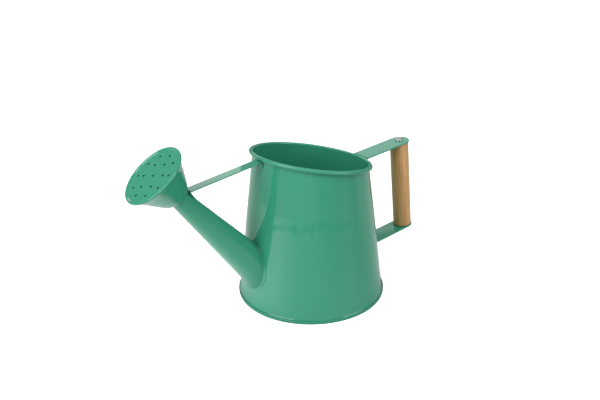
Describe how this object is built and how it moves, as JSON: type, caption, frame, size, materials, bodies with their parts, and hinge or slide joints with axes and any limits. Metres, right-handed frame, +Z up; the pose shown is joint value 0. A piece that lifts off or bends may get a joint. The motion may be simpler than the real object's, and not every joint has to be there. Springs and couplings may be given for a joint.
{
  "type": "watering can",
  "caption": "Small enamelled sheet-steel watering can: conical body with a slanted rolled mouth, braced straight spout with a perforated rose, and a strap handle with a wooden grip.",
  "frame": {"origin": "on the floor, under the middle of the can's overall box; the body's axis is 20.1 mm towards +X", "axes": "+Z up, +X towards the handle and away from the rose, +Y across the can"},
  "size_m": [0.2979, 0.1402, 0.1631],
  "materials": {
    "enamel": "glossy stoving enamel",
    "wire": "drawn wire",
    "grip_wood": "clear lacquer",
    "screw_steel": "zinc plated"
  },
  "bodies": {
    "root": {"body_shell": "enamel", "rim_wire": "wire", "base_plate": "enamel", "spout_tube": "enamel", "spout_brace": "enamel", "rose_back": "enamel", "rose_face": "enamel", "upper_handle_strap": "enamel", "lower_handle_strap": "enamel", "wooden_grip": "grip_wood", "upper_grip_screw": "screw_steel", "lower_grip_screw": "screw_steel"}
  },
  "joints": []
}
